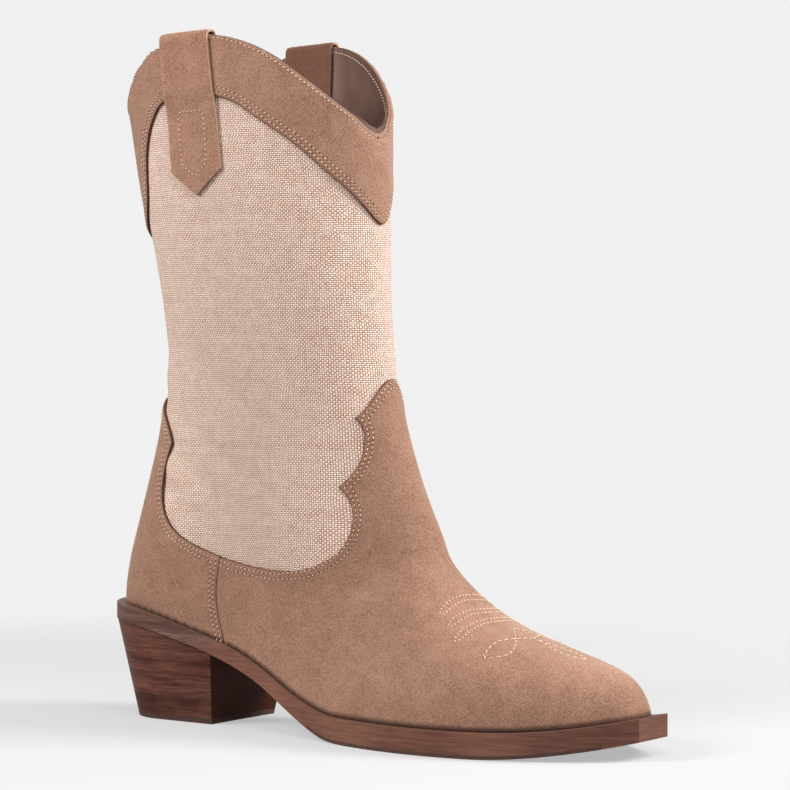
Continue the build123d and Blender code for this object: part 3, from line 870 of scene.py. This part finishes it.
def swelling(points, scale, amount, offset=0.0):
    """Soft random height at each point; offset picks another part of the noise."""
    shift = Vector((offset, 0.7 * offset, 1.3 * offset))
    return np.array([noise.noise(Vector(p) * scale + shift) for p in points]) * amount


def fade(values, start, reach):
    """0 before start, 1 past start and reach; with a negative reach the other way round."""
    return np.clip((values - start) / reach, 0, 1)


def suede_piece(node, rows, rim=nothing, sole=nothing):
    """One suede cover piece with its stitch rows.

    Of its edge points, rows and rim say which carry stitches, and sole which are sewn to the sole:
    the sheet runs down into it there.
    """
    sheet = Sheet(outer_surface, (node,))
    above_sole = sheet.distance(sole)
    sheet.points[:, 2] -= TUCK * fade(above_sole, TUCK_REACH, -TUCK_REACH)
    edge = sheet.distance(lambda p: not sole(p))
    fields = {"seam": sheet.distance(rows), "rim": sheet.distance(rim)}
    swell = swelling(sheet.points, 34.0, 0.3 * MM) * fade(edge, 0, 12 * MM)
    rounding = -0.28 * MM * fade(edge, 0.9 * MM, -0.9 * MM) ** 2
    obj = sheet.shell(f"{node}_cover", SUEDE_THICKNESS, SUEDE, swell + rounding)
    store(obj, "edge", edge, 0.0)
    store(obj, "seam", fields["seam"], FAR)
    store(obj, "rim", fields["rim"], FAR)
    # foot is the distance to the sole edge, near which the material paints shade.
    store(obj, "foot", above_sole, FAR)
    dress(obj, "suede", node)
    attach(obj, "root")
    lines = [line for field, row in ROWS_ON_SUEDE for line in contour(sheet, fields[field], row)]
    stitched(node, lines, THREAD)


def canvas_cover():
    """The shaft's canvas: one taut sheet with slight slanting folds behind and above the ankle."""
    sheet = Sheet(canvas_surface, CANVAS)
    points = sheet.points
    x, _, z = points.T
    slack = fade(z, 85 * MM, 40 * MM) * fade(z, 190 * MM, -60 * MM) * fade(x, 95 * MM, -40 * MM)
    slant = points @ np.array((55.0, 0.0, 78.0))
    folds = [noise.noise(Vector((s, 22 * p[0], 60 * p[1] + 9.0))) for s, p in zip(slant, points)]
    height = np.array(folds) * 1.6 * MM * slack + swelling(points, 26.0, 0.4 * MM, 4.0)
    obj = sheet.shell("canvas_cover", CANVAS_THICKNESS, CANVAS_WEAVE, height)
    sheet.weave_uv(obj)
    dress(obj, "canvas", *CANVAS)
    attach(obj, "root")


def lining_piece(node, *stitched_edges):
    """One piece of lining, with a row of stitches along each given part of its edge."""
    sheet = Sheet(inner_surface, (node,), inside=True)
    lines = [line for edge in stitched_edges for line in contour(sheet, sheet.distance(edge), LINING_ROW)]
    height = swelling(sheet.points, 30.0, 0.15 * MM, 7.0)
    obj = sheet.shell(f"{node}_cover", LINING_THICKNESS, LINING, height)
    dress(obj, "lining_leather", node)
    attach(obj, "root")
    if lines:
        stitched(node, lines, THREAD)


suede_piece("vamp", vamp_top, sole=vamp_sole)
suede_piece("heel_foxing", foxing_top, sole=foxing_sole)
suede_piece("front_collar", collar_lower, collar_rim)
suede_piece("back_collar", collar_lower, collar_rim)
canvas_cover()
lining_piece("lateral_shaft_lining", lining_rim)
lining_piece("medial_shaft_lining", lining_rim, lining_front_seam)
lining_piece("vamp_lining")
lining_piece("heel_lining")
lining_piece("sock_liner")

# ------------------------------------------------------------------ toe stitching
# The toe's pattern in plan, in mm: x along the boot and y to the medial side, mirrored about MIDDLE_Y.
MIDDLE_Y = 2.0
LOOPS = (((155, -18), 158.5), ((161, -20), 165.5), ((167, -23.5), 171.5))
LOOP_HALF = 1.1
RIBBON = ((178, 2), (184.5, -5), (188, -9.5), (190, -15.5), (187.5, -18.5), (183, -22), (181, -22))
RIBBON += ((180.5, -17), (181.5, -12.5), (183, -9.7), (185.5, -5.9), (188.6, 2))
LEAF = ((190, 2), (195, 1.0), (204, -1.6), (209, -0.8), (215, 2))
PATTERN_SHIFT = 1.5
PATTERN_SPREAD = 1.15
ROUNDING_PASSES = 3
ABOVE_BOOT = 0.4


def rounded(path, closed=False):
    """Corner cutting that turns a few points into a smooth path."""
    path = [np.array(p, float) for p in path]
    for _ in range(ROUNDING_PASSES):
        pairs = list(zip(path, path[1:] + path[:1] if closed else path[1:]))
        cut = [q for a, b in pairs for q in (a * 0.75 + b * 0.25, a * 0.25 + b * 0.75)]
        path = cut if closed else [path[0]] + cut + [path[-1]]
    return path + path[:1] if closed else path


def mirrored(path):
    return [(x, 2 * MIDDLE_Y - y) for x, y in path]


def on_vamp(path):
    """Plan path dropped on to the vamp, as (point, normal) pairs."""
    line = []
    for x, y in path:
        spread = MIDDLE_Y + (y - MIDDLE_Y) * PATTERN_SPREAD
        above = Vector(((x + PATTERN_SHIFT) * MM, spread * MM, ABOVE_BOOT))
        point, normal, _, _ = outer_surface[0].ray_cast(above, Vector((0, 0, -1)))
        line.append((point, normal if normal.z > 0 else -normal))
    return line


def loop_side(end, ridge_x, end_shift, half):
    """One long side of a loop over the instep, from its lateral end by way of the ridge."""
    x, y = end
    near = [(x + end_shift, y + 0.8), ((x + ridge_x) / 2 - 0.4 + half, (y + MIDDLE_Y) / 2)]
    return near + [(ridge_x + half, MIDDLE_Y)] + mirrored(near)[::-1]


def toe_stitching():
    loops = []
    for end, ridge_x in LOOPS:
        behind = loop_side(end, ridge_x, -1.2, -LOOP_HALF)
        ahead = loop_side(end, ridge_x, 1.8, LOOP_HALF)[::-1]
        loops.append(on_vamp(rounded(behind + ahead, closed=True)))
    stitched("toe_loops", loops, TOE_THREAD, 2.1 * MM, 1.35 * MM, 0.32 * MM)
    curves = [on_vamp(rounded(path)) for path in (RIBBON, mirrored(RIBBON), LEAF, mirrored(LEAF))]
    stitched("toe_ribbon", curves, TOE_THREAD, 3.1 * MM, 2.5 * MM, 0.28 * MM)


toe_stitching()

# ------------------------------------------------------------------ pull straps
STRAP_THICKNESS = 1.5 * MM
STRAP_STANDOFF = 0.35 * MM
STRAP_LEAN = 0.05  # how far the strap moves forward for each unit down
SIDE_GAP = 0.2 * MM
TIP_GAP = 0.3 * MM
SHOULDER = 11.0 * MM  # height of the pointed tip
WIDENING = 0.08  # how much wider the strap is at its tip than at the fold
INNER_END = 26 * MM  # height of the inner leg's end above the tip
WALL = 3.4 * MM  # shaft wall between the outer face and the lining's face
WALL_TOP = 298 * MM  # the wall's slope is carried on straight above this, past the rim
WALL_SLOPE_LENGTH = 8 * MM
FOLD_RADIUS = (WALL + STRAP_THICKNESS + 2 * STRAP_STANDOFF) / 2
FOLD_RISE = 1.05
FOLD_DROP = 1.9 * MM
ACROSS = 19
LEG_ROWS, FOLD_ROWS, INNER_ROWS = 52, 14, 34
BOX_INSET = 6.2 * MM
BOX_TOP, BOX_TIP = 37 * MM, 8.5 * MM  # above the strap's tip
BOX_STEPS = 12
OUTSIDE = 0.2  # out past the boot's sides


def carried_on(face_y, x, z):
    """Distance out to a face of the shaft's wall, carried on straight where the rim is near."""
    if z <= WALL_TOP:
        return face_y(x, z)
    top = face_y(x, WALL_TOP)
    slope = (top - face_y(x, WALL_TOP - WALL_SLOPE_LENGTH)) / WALL_SLOPE_LENGTH
    return top + slope * (z - WALL_TOP)


def moving_mean(values, width):
    return np.convolve(np.pad(values, width // 2, mode="edge"), np.ones(width) / width, mode="valid")


class Strap:
    """A strap sewn to the outside, folded over the rim and sewn inside; side is -1 lateral, 1 medial."""

    def __init__(self, node, body, side):
        self.node, self.body, self.side = node, body, side
        self.low, self.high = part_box(node)
        lean = STRAP_LEAN * (self.high.z - self.low.z)
        self.half = (self.high.x - self.low.x - lean) / 2 - SIDE_GAP
        self.centre_x = self.low.x + self.half
        self.fold_z = self.high.z - FOLD_DROP - STRAP_THICKNESS / 2 - FOLD_RADIUS * FOLD_RISE
        self.cover()
        self.box_stitch()

    def outer_y(self, x, z):
        start = Vector((x, self.side * OUTSIDE, z))
        return self.side * outer_surface[0].ray_cast(start, Vector((0, -self.side, 0)), OUTSIDE)[0].y

    def inner_y(self, x, z):
        found = inner_surface[0].ray_cast(Vector((x, 0, z)), Vector((0, self.side, 0)), OUTSIDE)
        return self.side * found[0].y + WALL

    def x_at(self, across, height):
        return self.centre_x + across + STRAP_LEAN * (self.high.z - height)

    def place(self, across, height, out):
        """Point across the strap, at a height along it and out from the boot's middle plane."""
        return Vector((self.x_at(across, height), self.side * out, height + STRAP_LEAN * across))

    def outer_leg(self, edgeward):
        """Points from the tip up to the fold, eased over the edges of the pieces underneath."""
        heights = np.linspace(self.low.z + TIP_GAP + SHOULDER * abs(edgeward), self.fold_z, LEG_ROWS)
        widening = WIDENING * (self.fold_z - heights) / (self.fold_z - self.low.z)
        across = edgeward * self.half * (1 + widening)
        places = list(zip(across, heights))
        wall = np.array([carried_on(self.outer_y, self.x_at(a, h), h) for a, h in places])
        eased = moving_mean(np.maximum(moving_mean(wall, 13), wall), 5)
        eased[-1] = wall[-1]
        return [self.place(a, h, y - WALL / 2 + FOLD_RADIUS) for (a, h), y in zip(places, eased)]

    def inner_point(self, across, height, out):
        """Point out from the middle of the wall, as the lining's face gives it."""
        y = carried_on(self.inner_y, self.x_at(across, height), height)
        return self.place(across, height, y - WALL / 2 + out)

    def fold(self, across):
        """Points over the rim, slightly squarer than a half circle."""
        points = []
        for k in range(1, FOLD_ROWS):
            angle = math.pi * k / FOLD_ROWS
            out = FOLD_RADIUS * math.copysign(abs(math.cos(angle)) ** 0.85, math.cos(angle))
            rise = FOLD_RADIUS * FOLD_RISE * math.sin(angle) ** 0.9
            points.append(self.inner_point(across, self.fold_z, out) + Vector((0, 0, rise)))
        return points

    def inner_leg(self, across):
        heights = np.linspace(self.fold_z, self.low.z + INNER_END, INNER_ROWS)
        return [self.inner_point(across, height, -FOLD_RADIUS) for height in heights]

    def cover(self):
        """The ribbon with its thickness, thinned to its edges."""
        spread = np.linspace(-1, 1, ACROSS)
        grid = np.array([
            [tuple(p) for p in self.outer_leg(e) + self.fold(e * self.half) + self.inner_leg(e * self.half)]
            for e in spread
        ])
        rows = grid.shape[1]
        normals = np.cross(np.gradient(grid, axis=1), np.gradient(grid, axis=0))
        normals /= np.linalg.norm(normals, axis=2, keepdims=True)
        if normals[ACROSS // 2, 5, 1] * self.side < 0:
            normals = -normals
        girth = STRAP_THICKNESS / 2 * (1 - 0.4 * np.abs(spread) ** 10)
        front = (grid + normals * girth[:, None, None]).reshape(-1, 3)
        back = (grid - normals * girth[:, None, None]).reshape(-1, 3)
        self.points = np.vstack([front, back])
        quads = []
        for i in range(ACROSS - 1):
            for j in range(rows - 1):
                a, b = i * rows + j, (i + 1) * rows + j
                quads.append([a, b, b + 1, a + 1])
        a, b, c = (front[v] for v in quads[0][:3])
        if np.dot(np.cross(b - a, c - a), normals[0, 0]) < 0:
            quads = [quad[::-1] for quad in quads]
        self.faces = two_sided(quads, len(front))
        obj = mesh_object(f"{self.node}_cover", self.points, self.faces, STRAP_SUEDE)
        obj.data.set_sharp_from_angle(angle=math.radians(55))
        store(obj, "edge", np.repeat(self.half * (1 - np.abs(spread)), rows))
        # inner marks the leg inside the shaft, which the material darkens as painted shade.
        store(obj, "inner", np.tile(np.arange(rows) > LEG_ROWS + FOLD_ROWS / 2, ACROSS))
        for name in ("seam", "rim", "foot"):
            store(obj, name, np.full(len(front), FAR))
        dress(obj, "suede", self.node)
        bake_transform(obj)

    def box_stitch(self):
        """Row of stitches with a point at the bottom, laid on the outer leg."""
        surface = BVHTree.FromPolygons([Vector(p) for p in self.points], self.faces)
        right = self.half - BOX_INSET
        top, tip = self.low.z + BOX_TOP, self.low.z + BOX_TIP
        shoulder = tip + SHOULDER * 0.52
        outline = [(-right, top), (right, top), (right, shoulder), (0, tip), (-right, shoulder)]
        line = []
        for a, b in zip(outline, outline[1:] + outline[:1]):
            for share in np.linspace(0, 1, BOX_STEPS, endpoint=False):
                across, height = (p + (q - p) * share for p, q in zip(a, b))
                start = self.place(across, height, OUTSIDE)
                point, normal, _, _ = surface.ray_cast(start, Vector((0, -self.side, 0)))
                line.append((point, normal if normal.y * self.side > 0 else -normal))
        stitched(self.node, [line], THREAD)


Strap("lateral_pull_strap", "lateral_strap", -1)
Strap("medial_pull_strap", "medial_strap", 1)

# ------------------------------------------------------------------ stage
BACKDROP = (0.875, 0.875, 0.875, 1)
FLOOR_SIZE = 8.0
FLOOR_STEPS = 24
FLOOR_BELOW = 0.1 * MM
FLOOR_GLOW = 0.30  # the floor's own brightness as a light, against 1 to the camera
WORLD_LIGHT = 0.44
AZIMUTH = math.radians(35.76)
PITCH = math.radians(1.94)
RIGHT = Vector((math.cos(AZIMUTH), math.sin(AZIMUTH), 0))
LEVEL = Vector((-math.sin(AZIMUTH), math.cos(AZIMUTH), 0))
UP = Vector((0, 0, 1))
FORWARD = LEVEL * math.cos(PITCH) - UP * math.sin(PITCH)
CAMERA_UP = UP * math.cos(PITCH) + LEVEL * math.sin(PITCH)
DISTANCE = 1382.4 * MM
FOCAL_LENGTH = 142.87
SENSOR = 36
TARGET = Vector((100 * MM, 0, 140 * MM))
AIM_RIGHT, AIM_UP = 14.93 * MM, 8.66 * MM  # the picture's middle, from the target


def floor():
    """A large pale floor whose far part takes the backdrop's own brightness."""
    m = Material("floor", 0.9)
    pale, paler = (0.515, 0.515, 0.515, 1), (0.525, 0.525, 0.525, 1)
    m.colour(m.mix(m.ramp(m.noise(3, 2), 0.3, 0.7), pale, paler))
    m.surface({"Specular IOR Level": 0.05})
    glow = m.node("ShaderNodeEmission")
    glow.inputs["Color"].default_value = BACKDROP
    seen = m.node("ShaderNodeLightPath").outputs["Is Camera Ray"]
    m.set(glow.inputs["Strength"], m.ramp(seen, 0.0, 1.0, FLOOR_GLOW, 1.0))
    distance = m.node("ShaderNodeVectorMath", operation="LENGTH")
    m.set(distance.inputs[0], m.position())
    blend = m.node("ShaderNodeMixShader")
    far = m.ramp(distance.outputs["Value"], 0.20, 0.50, 0.50, 1.0)
    for socket, value in zip(blend.inputs, (far, m.shader.outputs[0], glow.outputs[0])):
        m.set(socket, value)
    m.set(m.tree.nodes["Material Output"].inputs["Surface"], blend.outputs[0])
    line = np.linspace(-FLOOR_SIZE / 2, FLOOR_SIZE / 2, FLOOR_STEPS + 1)
    points = [(x, y, -FLOOR_BELOW) for x in line for y in line]
    faces = []
    for i in range(FLOOR_STEPS):
        for j in range(FLOOR_STEPS):
            a, b = i * len(line) + j, (i + 1) * len(line) + j
            faces.append([a, b, b + 1, a + 1])
    mesh_object("floor", points, faces, m.material, smooth=False)


def world():
    """Pale surroundings: bright to the camera, dimmer as a light."""
    made = bpy.data.worlds.new("studio")
    bpy.context.scene.world = made
    made.use_nodes = True
    tree = made.node_tree
    background = tree.nodes["Background"]
    background.inputs["Color"].default_value = BACKDROP
    path = tree.nodes.new("ShaderNodeLightPath")
    strength = tree.nodes.new("ShaderNodeMapRange")
    strength.inputs["To Min"].default_value = WORLD_LIGHT
    strength.inputs["To Max"].default_value = 1.0
    tree.links.new(path.outputs["Is Camera Ray"], strength.inputs["Value"])
    tree.links.new(strength.outputs[0], background.inputs["Strength"])


def area_light(name, offset, size, power, tint=(1, 1, 1)):
    """Square light at an offset (right, away from the camera, up) from the boot, aimed at it."""
    data = bpy.data.lights.new(name, "AREA")
    data.size = size
    data.energy = power
    data.color = tint
    light = bpy.data.objects.new(name, data)
    bpy.context.scene.collection.objects.link(light)
    light.location = TARGET + RIGHT * offset[0] + LEVEL * offset[1] + UP * offset[2]
    light.rotation_euler = (TARGET - light.location).to_track_quat("-Z", "Y").to_euler()


def camera():
    data = bpy.data.cameras.new("camera")
    data.lens = FOCAL_LENGTH
    data.sensor_width = SENSOR
    data.clip_start = 0.05
    data.clip_end = 50
    made = bpy.data.objects.new("camera", data)
    bpy.context.scene.collection.objects.link(made)
    made.location = TARGET + RIGHT * AIM_RIGHT + CAMERA_UP * AIM_UP - FORWARD * DISTANCE
    made.rotation_euler = FORWARD.to_track_quat("-Z", "Y").to_euler()
    bpy.context.scene.camera = made


floor()
world()
area_light("key", (-0.80, -0.35, 0.55), 0.4, 10, (1.0, 0.99, 0.98))
area_light("side", (0.80, -0.05, 0.50), 0.4, 13)
area_light("front", (0.12, -0.42, 0.40), 0.3, 1.5)
camera()
bpy.context.scene.view_settings.view_transform = "Standard"
